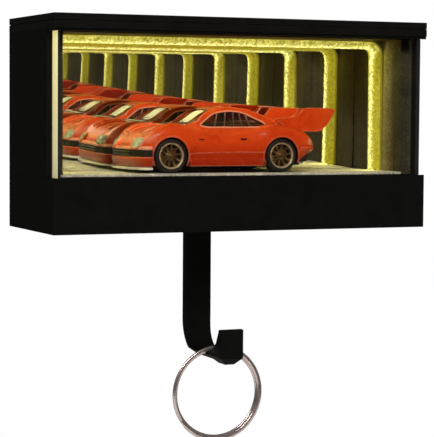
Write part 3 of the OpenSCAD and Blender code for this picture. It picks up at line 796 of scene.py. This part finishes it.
# Outlines of the body against x, in millimetres: half width, and height of fender top, middle top and sill
WIDTH = curve((
    (-30.4, 9.0), (-29.8, 10.4), (-28.9, 11.7), (-27.4, 13.0), (-25, 13.95), (-20.8, 14.25), (-15, 13.8),
    (-11.5, 13.1), (-7, 12.9), (3, 12.9), (7.5, 13.3), (11, 14), (15.2, 14.3), (20, 14.1), (24, 13.3),
    (26.2, 12.2), (27.4, 10.6),
))
FENDER = curve((
    (-30.4, 7.5), (-29.8, 8.9), (-28.7, 10.3), (-27.2, 11.8), (-25.2, 13.3), (-22.8, 14.4), (-20, 14.9),
    (-17, 14.6), (-13, 13.6), (-7, 12.8), (3, 12.8), (8, 13.5), (13, 14.5), (18, 14.3), (22, 13.2),
    (25, 11.5), (27.4, 9.2),
))
CROWN = curve((
    (-30.4, 7.3), (-29.4, 9.0), (-27.8, 10.8), (-25.6, 12.2), (-22.5, 13.3), (-19, 13.8), (-14, 14.1),
    (8, 14.6), (14, 15.1), (19, 14.4), (23, 13), (25.6, 11.4), (27.4, 9.4),
))
SILL = curve((
    (-30.4, 3.4), (-29, 2.4), (-27, 2.0), (14, 2.0), (19.5, 2.4), (22.5, 4.2), (25, 5.6), (27.4, 6.3),
))
NOSE, TAIL = -30.4, 27.4

# Outlines of the cabin against x: height of its middle and half width of its roof
CABIN_TOP = curve((
    (-14.4, 13.2), (-13.4, 14.2), (-9.8, 16.6), (-6.5, 18.7), (-4.2, 19.5), (-1.8, 19.85), (0.5, 19.9),
    (4.5, 19.4), (8.5, 18.3), (12, 17.0), (16, 15.5), (19.5, 13.9),
))
CABIN_HALF = curve(((-14.4, 9.8), (-11, 10.7), (-6, 11.4), (2, 11.6), (9, 11.2), (15, 10.3), (19.5, 9.2)))
CABIN_FRONT, CABIN_REAR, CABIN_FOOT = -14.4, 19.5, 12.2
# How far the cabin's flanks lean in for each millimetre of height
ROOF_LEAN = 0.5


def on_road(x, y, z):
    """A point of the car: x as in the row frame, y from the car's middle, z over the road."""
    return Vector((x, y + Y_CAR, z + Z_ROAD))


def prism(shape, outline, low, high, axis):
    """Adds a block: an outline of (a, z) points, between two places along the other level axis."""
    return shape.skin([
        [on_road(a, level, z) if axis == "y" else on_road(level, a, z) for a, z in outline]
        for level in (low, high)
    ])


def body_section(x):
    """Half of the body's outline at x, from the middle of its underside to the middle of its top."""
    w, s, c, b = WIDTH(x), FENDER(x), CROWN(x), SILL(x)
    rise = s - b
    points = [
        (0, b + 0.3), (w * 0.7, b + 0.3), (w - 1.2, b), (w - 0.3, b + 0.3), (w - 0.05, b + rise * 0.25),
        (w, b + rise * 0.5), (w - 0.1, b + rise * 0.68), (w - 0.5, s - rise * 0.14), (w - 1.5, s - 0.15),
        (w - 3.2, s + 0.05), (w * 0.6, s * 0.5 + c * 0.5), (w * 0.42, s * 0.12 + c * 0.88),
        (w * 0.2, c + 0.1), (0, c + 0.1),
    ]
    return rounded(points)


def both_sides(half):
    """A line from its half: up one side and down the other."""
    return [(-y, z) for y, z in half[:-1]] + [(y, z) for y, z in reversed(half)]


def body_skin():
    """The closed lower body before the wheel wells are cut."""
    xs = evenly(NOSE, -26, 18)[:-1] + evenly(-26, 22, 84)[:-1] + evenly(22, TAIL, 12)
    return Shape().skin([[on_road(x, y, z) for y, z in both_sides(body_section(x))[:-1]] for x in xs])


def well_line(x, gap, turns):
    """Points (x, z) round a wheel opening, gap outside its edge."""
    return [(x + (ARCH + gap) * cos(a), TYRE + (ARCH + gap) * sin(a)) for a in turns]


def arch_cutters(black):
    """One cutter for all four wheel wells."""
    shape = Shape()
    for x in (FRONT, REAR):
        for side in (-1, 1):
            prism(shape, well_line(x, 0, angles(56)), side * 8.4, side * 16, "y")
    return shape.thing("wells", black)


def swept(shape, path, section, material=0):
    """Sweeps a section of (outwards, height) points along a level path of (x, y) points."""
    rows = []
    for k, (x, y) in enumerate(path):
        ahead = heading(path, k)
        out = Vector((ahead.y, -ahead.x)).normalized()
        rows.append([on_road(x + out.x * o, y + out.y * o, z) for o, z in section])
    shape.skin(rows, material=material)


def end_path(reach, root, half, round_by, count, side):
    """One end of the car seen from above, from wheel to wheel. Along x it goes from root out to reach."""
    path = []
    for k in range(count + 1):
        a = pi * (k / count - 0.5)
        y = half * copysign(abs(sin(a)) ** 0.62, sin(a))
        path.append((reach + (root - reach) * (1 - abs(cos(a)) ** round_by), side * y))
    return path


def nose_path(reach=-31.1):
    return end_path(reach, -26.8, 14.0, 0.6, 48, -1)


def tail_path():
    return end_path(27.6, 21.6, 13.6, 0.55, 36, 1)


def make_bumpers(paint, black, pale, highlight_paint):
    """Bumpers wrapped round the nose and tail, with a dark intake, and a pale splitter under the nose."""
    shape = Shape()
    nose = nose_path()
    top = [(-1.5, 7.9), (-0.5, 7.95), (-0.1, 7.6), (0, 7.2), (-0.15, 6.9), (-1.5, 6.8)]
    lip = [(-1.5, 4.9), (-0.2, 4.9), (0.1, 4.6), (0.1, 3.9), (-0.2, 2.6), (-0.7, 1.9), (-1.5, 1.8)]
    # The top of the nose bumper in the pale highlight colour: a painted highlight.
    swept(shape, nose, top, material=2)
    swept(shape, nose, lip)
    swept(shape, nose, [(-1.6, 4.8), (-0.12, 4.8), (-0.08, 5.9), (-0.12, 6.9), (-1.6, 6.9)], material=1)
    tail = tail_path()
    swept(shape, tail, [(-1.6, 8.0), (-0.1, 7.9), (0.4, 7.5), (0.4, 6.7), (0, 6.3), (-1.6, 6.3)])
    swept(shape, tail, [(-2.6, 6.4), (-0.5, 6.4), (-0.7, 4.6), (-1.3, 3.3), (-2.6, 3.1)], material=1)
    place(shape.thing("car_bumpers", paint, black, highlight_paint), "car", "car_orange", "car_body")
    blade = Shape()
    swept(blade, nose_path(-31.0), [(-1.6, 1.75), (0.1, 1.7), (0.25, 1.4), (0.2, 1.0), (-1.6, 0.95)])
    place(blade.thing("car_splitter_blade", pale), "car", "car_white", "car_splitter")


def fender_lips(shape):
    """A rolled lip round each wheel opening."""
    turns = [radians(turn) for turn in evenly(-22, 202, 32)]
    for x in (FRONT, REAR):
        line = well_line(x, 0.12, turns)
        for side in (-1, 1):
            shape.tube([on_road(px, side * (WIDTH(px) - 0.12), pz) for px, pz in line], 0.3, flat=0.8)


def make_body(paint, black):
    """Lower body cut open for the wheels, with lips round the wells, skirts, creases and bonnet ridges."""
    body = carve(body_skin().thing("car_lower_body", paint), arch_cutters(black))
    shade(body.data, 38)
    place(body, "car", "car_orange", "car_body")
    trim = Shape()
    fender_lips(trim)
    panel = [(-0.8, 2.2), (0.35, 1.9), (0.75, 2.1), (0.8, 2.8), (0.3, 4.4), (-0.2, 5.0), (-0.8, 5.0)]
    for side in (-1, 1):
        skirt = [(x, side * (WIDTH(x) - 0.35)) for x in evenly(FRONT + ARCH + 0.3, REAR - ARCH - 0.3, 24)]
        if side > 0:
            skirt.reverse()
        swept(trim, skirt, panel)
        crease = [
            on_road(x, side * (WIDTH(x) - 0.08), 5.4 + 0.7 * sin((x - FRONT) / 14))
            for x in evenly(FRONT + ARCH + 0.2, REAR - ARCH - 0.2, 24)
        ]
        trim.tube(crease, 0.24)
        for across in (0.62, 0.4):
            high = (across - 0.2) * 1.3
            ridge = [
                on_road(x, side * across * WIDTH(x), FENDER(x) * high + CROWN(x) * (1 - high) + 0.05)
                for x in evenly(-26.5, -15.5, 16)
            ]
            trim.tube(ridge, 0.26)
    place(trim.thing("car_lips_and_skirts", paint), "car", "car_orange", "car_body")


def cabin_section(x, inset):
    """Half of the cabin's outline at x, from its foot to the middle of its roof."""
    half = CABIN_HALF(x) - inset
    foot = CABIN_FOOT
    points = [(half, foot)]
    top = max(CABIN_TOP(x) - inset, foot + 0.05)
    nearer = x + copysign(1.6, -x - 1) * (abs(x + 1) > 6)
    edge = max(min(CABIN_TOP(nearer) - inset - 0.35, top), foot + 0.03)
    edge_y = half - (edge - foot) * ROOF_LEAN
    points += [(half - (edge - foot) * ROOF_LEAN * 0.5, (foot + edge) / 2), (edge_y, edge)]
    rise = top - edge
    points += [(edge_y * 0.93, edge + rise * 0.45), (edge_y * 0.6, top - rise * 0.15), (0, top)]
    return rounded(points)


def cabin_skin(inset):
    xs = evenly(CABIN_FRONT + inset * 1.2, CABIN_REAR - inset * 1.2, 76)
    rows = [[on_road(x, y, z) for y, z in both_sides(cabin_section(x, inset))] for x in xs]
    return Shape().skin(rows, around=False, caps=False)


def soft_outline(points, passes=2):
    """A closed outline with its corners cut off."""
    return rounded(points, 0.15, passes, closed=True)


SIDE_WINDOW = ((-11.2, 13.5), (-5.6, 17.7), (-0.5, 18.5), (4, 18.1), (11.6, 14.7), (10.6, 13.6))
WINDSCREEN = ((-9.6, 14.3), (-7.6, 18.9), (7.6, 18.9), (9.6, 14.3))
REAR_WINDOW = ((-8.2, 15.6), (-7.0, 18.3), (7.0, 18.3), (8.2, 15.6))


def make_cabin(paint, glass):
    """Roof and pillars as a shell with cut windows, and tinted glass inside it."""
    cabin = shell(cabin_skin(0).thing("car_roof_and_pillars", paint), 0.4)
    carve(
        cabin,
        prism(Shape(), soft_outline(SIDE_WINDOW), -15, 15, "y").thing("cut_sides", paint),
        prism(Shape(), soft_outline(WINDSCREEN), -22, -5.0, "x").thing("cut_front", paint),
        prism(Shape(), soft_outline(REAR_WINDOW), 6.6, 22, "x").thing("cut_rear", paint),
    )
    shade(cabin.data, 35)
    place(cabin, "car", "car_orange", "car_body")
    panes = shell(cabin_skin(0.32).thing("car_glazing", glass), 0.25)
    place(panes, "car", "car_glass", "car_windows")


def make_interior(dark):
    """Floor, two seats and a steering wheel."""
    inside = Shape()
    inside.box(on_road(-11.6, -9.4, 13), on_road(12.5, 9.4, 14.1), 0.3)
    for y in (-4.6, 4.6):
        inside.box(on_road(-1.2, y - 2.6, 14), on_road(0.6, y + 2.6, 17.9), 0.6)
        inside.box(on_road(-6.6, y - 2.4, 14), on_road(-1, y + 2.4, 14.8), 0.3)
    wheel = [
        on_road(-7.4 + 0.5 * sin(a), -4.6 + 1.7 * cos(a), 15.4 + 1.1 * sin(a))
        for a in angles(20) + [2 * pi]
    ]
    inside.tube(wheel, 0.18, sides=6)
    place(inside.thing("car_interior", dark), "car", "car_black")


def make_cage(pale, highlight_paint):
    """Roll cage behind the glass, and the trim round the side windows, whose pale colour is a painted
    highlight.
    """
    cage = Shape()
    outline = [*soft_outline(SIDE_WINDOW), soft_outline(SIDE_WINDOW)[0]]
    for side in (-1, 1):
        flank = [(x, CABIN_HALF(x) - (z - CABIN_FOOT) * ROOF_LEAN, z) for x, z in outline]
        # The window trim in the pale highlight colour: a painted highlight.
        cage.tube([on_road(x, side * (y + 0.12), z) for x, y, z in flank], 0.24, flat=0.7, material=1)
        for x, lean in ((-5.4, 1.6), (-2.2, 1.0), (0.8, 0.6), (3.6, -0.4), (6.2, -1.2)):
            bar = [on_road(x + lean * t, side * (9.9 - 1.8 * t), 13.8 + 4.4 * t) for t in evenly(0, 1, 6)]
            cage.tube(bar, 0.24)
        rail = [on_road(x, side * 9.3, 15.2 + 0.25 * sin(x / 3)) for x in evenly(-6, 8, 10)]
        cage.tube(rail, 0.18, sides=6)
    hoop = [on_road(1.8, 8.0 * cos(a), 14.2 + 4.2 * sin(a) ** 0.5) for a in evenly(0.02, 3.12, 24)]
    cage.tube(hoop, 0.24)
    place(cage.thing("car_roll_cage", pale, highlight_paint), "car", "car_white")


# Angle between faces, in radians, above which an edge of the wing's end plates is rounded
SHARP = 1.2


def make_tail(paint):
    """The rear wing: two end plates and a swept blade between them, with a raised lip."""
    plate = [
        (12.6, 16.3), (20.8, 16.9), (22.0, 18.0), (23.2, 19.6), (34.4, 19.5), (31.4, 14.4), (28.6, 12.3),
        (22.6, 12.4), (18.6, 13.0),
    ]
    wing = Shape()
    for low, high in ((-12.4, -11.4), (11.4, 12.4)):
        before = set(wing.bm.edges)
        prism(wing, soft_outline(plate, 1), low, high, "y")
        sharp = [e for e in wing.bm.edges if e not in before and e.calc_face_angle() > SHARP]
        round_edges(wing.bm, sharp, 0.25)
    deck = rounded([(15.5, 14.9), (20, 15.3), (25, 14.6), (30, 16.0), (33.0, 19.0)])
    upper = [(p.x, p.y) for p in deck]
    lower = [(p.x - 0.35, p.y - 0.85) for p in reversed(deck)]
    wing.skin([
        [on_road(x, y, z + 0.1 * cos(y / 4)) for x, z in upper + lower]
        for y in evenly(-11.6, 11.6, 16)
    ])
    wing.tube([on_road(33.05, y, 19.05) for y in evenly(-11.5, 11.5, 12)], 0.42, sides=10)
    place(wing.thing("car_tail_wing", paint, smooth=35), "car", "car_orange", "car_wing")


def disc(shape, centre, facing, profile, stretch=1.0, square=1.0, material=0):
    """Turns a profile of (radius, outwards) points about any axis, stretched sideways and squared off."""
    def bent(value):
        return copysign(abs(value) ** square, value)

    out = Vector(facing).normalized()
    across = out.cross(Vector((0, 0, 1))).normalized()
    up = across.cross(out)
    rows = [
        [
            centre + out * height + across * r * stretch * bent(cos(a)) + up * r * bent(sin(a))
            for a in angles(28)
        ]
        for r, height in profile
    ]
    shape.skin(rows, material=material)


def make_lamps(lens, bezel, red):
    """Head lamps with a stepped lens in a rim, in the front corners, and tail lamps set into the tail."""
    lamps = Shape()
    for side in (-1, 1):
        at = on_road(-29.5, side * 8.9, 8.7)
        facing = (-0.78, side * 0.2, 0.56)
        rim = [(2.15, -0.9), (2.15, 0.3), (2.0, 0.5), (1.8, 0.45)]
        glass = [(1.8, 0.2), (1.75, 0.55), (1.4, 0.75), (0.9, 0.9), (0.3, 0.95)]
        disc(lamps, at, facing, rim, 1.35, 0.6, material=1)
        disc(lamps, at, facing, glass, 1.35, 0.6)
        corner = [(x, y) for x, y in tail_path() if 5 < y * side < 13.4]
        swept(lamps, corner, [(-0.9, 8.4), (0.05, 8.4), (0.12, 9.3), (-0.15, 9.9), (-0.9, 9.9)], material=2)
    place(lamps.thing("car_lamp_lenses", lens, bezel, red), "car", "car_lens", "car_lamps")


def make_details(black, steel, pale):
    """Small parts: grille bars, handles, deck vents, wipers, a pale cowl panel that is a painted highlight,
    and exhausts.
    """
    small = Shape()
    for z in (5.35, 6.15):
        small.box(on_road(-31.5, -6.8, z), on_road(-30.6, 6.8, z + 0.3), 0.1, material=1)
    # A pale panel at the foot of the windscreen: a painted highlight.
    small.box(on_road(-16.6, -8.6, 13.4), on_road(-14.0, 8.6, 14.75), 0.25, material=2)
    for side in (-1, 1):
        inner, outer = sorted((side * 12.6, side * 13.15))
        small.box(on_road(2.0, inner, 9.9), on_road(3.9, outer, 10.3), 0.12)
        small.box(on_road(-11.6, inner, 9.8), on_road(-10.0, outer, 10.15), 0.12)
        for k in range(4):
            low = on_road(20.2 + k * 0.9, side * 5 - 3, 14.2 - k * 0.35)
            small.box(low, low + Vector((0.4, 6, 0.4)), 0.1)
        pipe = [(0.95, -3), (0.95, 1.6), (0.72, 1.6), (0.66, -0.6)]
        disc(small, on_road(23.6, side * 7.4, 3.5), (1, 0, -0.05), pipe, material=1)
    for y in (-5.6, 1.4):
        wiper = [on_road(-13.4 + 0.5 * t, y + 1.8 * t, 14.6 + 0.31 * t) for t in evenly(0, 4, 8)]
        small.tube(wiper, 0.12, sides=6)
    place(small.thing("car_small_parts", black, steel, pale), "car", "car_black")


TYRE_WIDTH = 4.4


def wheel_pairs():
    """For each axle its name, its body, and the side and centre of its two wheels."""
    for name, x in (("front", FRONT), ("rear", REAR)):
        centres = [(side, on_road(x, side * (Y_WHEEL - TYRE_WIDTH / 2), TYRE)) for side in (-1, 1)]
        yield name, f"{name}_wheels", centres


def make_tyres(rubber):
    """Tyres with bulging side walls and three grooves round the tread."""
    half = TYRE_WIDTH / 2
    profile = [(3.75, 0.3 - half), (3.95, 0.05 - half), (4.4, -half), (4.85, 0.2 - half)]
    profile.append((TYRE - 0.04, 0.7 - half))
    for low, high in ((-0.95, -0.75), (0.0, 0.2), (0.95, 1.1)):
        profile += [(TYRE, low - 0.1), (TYRE - 0.22, low), (TYRE - 0.22, high), (TYRE, high + 0.1)]
    profile += [
        (TYRE - 0.04, half - 0.7), (4.85, half - 0.2), (4.62, half - 0.03), (4.5, half), (4.3, half - 0.02),
        (3.95, half - 0.08), (3.78, half - 0.3), (3.7, 0.0),
    ]
    for name, body, wheels in wheel_pairs():
        shape = Shape()
        for side, centre in wheels:
            shape.spun(centre, profile, side, steps=80)
        place(shape.thing(f"{name}_tyres_treaded", rubber, smooth=30), body, "tyre", f"{name}_tyres")


def spoke(shape, centre, side, angle):
    """One tapered spoke from the hub to the rim, dished inwards, its section a rounded bar."""
    radial = Vector((cos(angle), 0, sin(angle)))
    tangent = Vector((-sin(angle), 0, cos(angle)))
    outward = Vector((0, side, 0))
    section = [(-1, -0.35), (-1, 0.15), (-0.6, 0.34), (0.6, 0.34), (1, 0.15), (1, -0.35)]
    rows = []
    for t in evenly(0, 1, 6):
        r = 0.75 + 2.75 * t
        wide = 0.42 - 0.16 * t + 0.12 * t * t
        dish = 1.15 - 0.5 * sin(pi * min(t * 1.1, 1))
        rows.append([centre + radial * r + tangent * wide * a + outward * (dish + b) for a, b in section])
    shape.skin(rows)


def make_rims(bronze, pale, dark, steel):
    """Ten-spoke rims with a paler lip, a centre nut and a dark brake disc behind."""
    lip = [
        (3.3, 1.55), (3.42, 1.95), (3.62, 2.12), (3.8, 2.14), (3.93, 2.04), (3.9, 1.8), (3.72, 1.6),
        (3.7, 1.3), (3.36, 1.3),
    ]
    barrel = [(3.36, 1.6), (3.3, 0.6), (3.1, -0.4), (3.1, -1.9), (3.7, -1.9), (3.7, 1.6)]
    hub = [
        (0.02, 1.0), (0.02, 1.62), (0.35, 1.62), (0.5, 1.5), (0.95, 1.42), (1.1, 1.1), (1.1, 0.6),
        (0.02, 0.6),
    ]
    brake = [(0.6, 0.1), (2.7, 0.1), (2.75, 0.0), (2.75, -0.3), (0.6, -0.3)]
    back = [(0.02, -0.5), (3.1, -0.5), (3.1, -0.7), (0.02, -0.7)]
    nut = [(0.02, 1.6), (0.02, 2.0), (0.3, 1.95), (0.36, 1.6)]
    turned = ((lip, 64, 1), (barrel, 64, 0), (hub, 24, 0), (brake, 48, 3), (back, 48, 2), (nut, 6, 3))
    for name, body, wheels in wheel_pairs():
        shape = Shape()
        for side, centre in wheels:
            for profile, steps, material in turned:
                shape.spun(centre, profile, side, steps, material)
            for k in range(10):
                spoke(shape, centre, side, radians(36 * k + 9))
        thing = shape.thing(f"{name}_rims_spoked", bronze, pale, dark, steel, smooth=35)
        place(thing, body, "rim_bronze", f"{name}_rims")


# ---- everything together

def dress(material, *names):
    """Gives CAD parts that keep their own shape a finish."""
    for name in names:
        slots = nodes[name].data.materials
        slots.clear()
        slots.append(material)


def make_cabinet():
    # Black case and roof: their edges are paled partly as rubbed paint and partly as a painted highlight.
    black = plain(
        "case_black", (0.0030, 0.0030, 0.0026), 0.5, grain=0.25, depth=0.012, edge_wear_and_highlight=(0.02, 0.019, 0.017),
        Specular_IOR_Level=0.07,
    )
    lid_black = plain(
        "roof_black", (0.0036, 0.0034, 0.0030), 0.45, depth=0.012, edge_wear_and_highlight=(0.025, 0.023, 0.02),
        Specular_IOR_Level=0.1,
    )
    make_case(black, lid_black)
    # The lining's own colour, with the painted shade near the pane and the painted light before the arch.
    card = concrete_material("liner_card", (0.052, 0.047, 0.03), streak=0.6, front=0.95, painted_arch_light=4.8)
    floor = concrete_material("floor_card", (0.5, 0.47, 0.42), streak=0.1)
    ceiling = concrete_material("ceiling_card", (0.05, 0.047, 0.037), streak=0.2)
    make_lining(card, floor, ceiling)
    foot, top = (corner.z for corner in box_mm("front_pane"))
    lit_end = acrylic_edge_material(foot, top)
    trim = plain("trim_tape", (0.006, 0.006, 0.006), 0.5, grain=0.2)
    make_pane(acrylic_material(), lit_end, trim, film_clear_material(), film_material())
    dress(trim, "pane_trims")
    make_mirror(mirror_material())
    dress(tape_material(), "led_tape")
    make_lights_strip()
    make_ring(plain("ring_nickel", (0.7, 0.58, 0.54), 0.2, grain=0.5, depth=0.003, patch=4, Metallic=0.9))
    steel = plain("screw_steel", (0.45, 0.45, 0.46), 0.3, grain=0.2, Metallic=1.0)
    dress(steel, "hook_screws", "cover_screws", "roof_screws", "back_screws")
    dress(plain("socket_steel", (0.6, 0.6, 0.62), 0.25, Metallic=1.0), "usb_socket")
    dress(plain("switch_plastic", (0.02, 0.02, 0.022), 0.4), "button_switch")
    dress(plain("strip_wire", (0.02, 0.019, 0.016), 0.4, grain=0.4), "led_wires")
    dress(plain("wire_sleeve", (0.35, 0.02, 0.02), 0.4, grain=0.4), "battery_leads")
    dress(plain("cell_foil", (0.5, 0.52, 0.55), 0.3, grain=1.2, depth=0.03, Metallic=0.7), "battery")
    dress(plain("board_green", (0.02, 0.16, 0.06), 0.35, grain=0.8, depth=0.02), "control_board")


def make_car():
    paint = paint_material()
    black = plain("car_black", (0.008, 0.008, 0.008), 0.5)
    steel = plain("car_steel", (0.5, 0.5, 0.5), 0.3, Metallic=1.0)
    pale = plain("car_pale", (0.62, 0.58, 0.52), 0.35, grain=0.4)
    cage_paint = plain("cage_paint", (0.4, 0.2, 0.17), 0.35, grain=0.4)
    # Pale pink paint that stands for highlights along the window edges and the nose bumper.
    highlight_paint = plain("painted_highlight_trim", (0.8, 0.3, 0.2), 0.25, grain=0.4)
    lens = plain("car_lens", (0.36, 0.37, 0.29), 0.12, grain=0.9, depth=0.03, patch=1.2, spread=0.6)
    red = plain("car_tail_lens", (0.75, 0.3, 0.2), 0.15, grain=0.5, depth=0.03)
    bronze = plain("rim_bronze", (0.21, 0.13, 0.052), 0.32, patch=2, Metallic=0.75)
    lip = plain("rim_lip", (0.72, 0.56, 0.38), 0.28, patch=2, Metallic=0.6)
    rubber = plain("tyre_rubber", (0.012, 0.011, 0.01), 0.65, grain=0.25, depth=0.02, patch=3)
    make_body(paint, black)
    make_bumpers(paint, black, pale, highlight_paint)
    make_cabin(paint, screen_material())
    make_interior(black)
    make_cage(cage_paint, highlight_paint)
    make_tail(paint)
    make_lamps(lens, paint, red)
    make_details(black, steel, pale)
    make_tyres(rubber)
    make_rims(bronze, lip, black, steel)
    dress(steel, "front_axle", "rear_axle", "car_rivets")
    dress(black, "car_chassis")


def make_floor():
    """A pale floor well under the hanging object."""
    half, level = 600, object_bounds()[0].z / MM - 160
    rows = [[(x, y, level) for x in (-half, half)] for y in (-half, half)]
    pale = plain("floor_pale", (0.75, 0.75, 0.74), 0.6, grain=1.5, patch=90, spread=0.02)
    Shape().skin(rows, around=False, caps=False).thing("studio_floor", pale)


set_bounces()
make_camera()
make_world()
make_lights()
make_cabinet()
make_car()
make_floor()
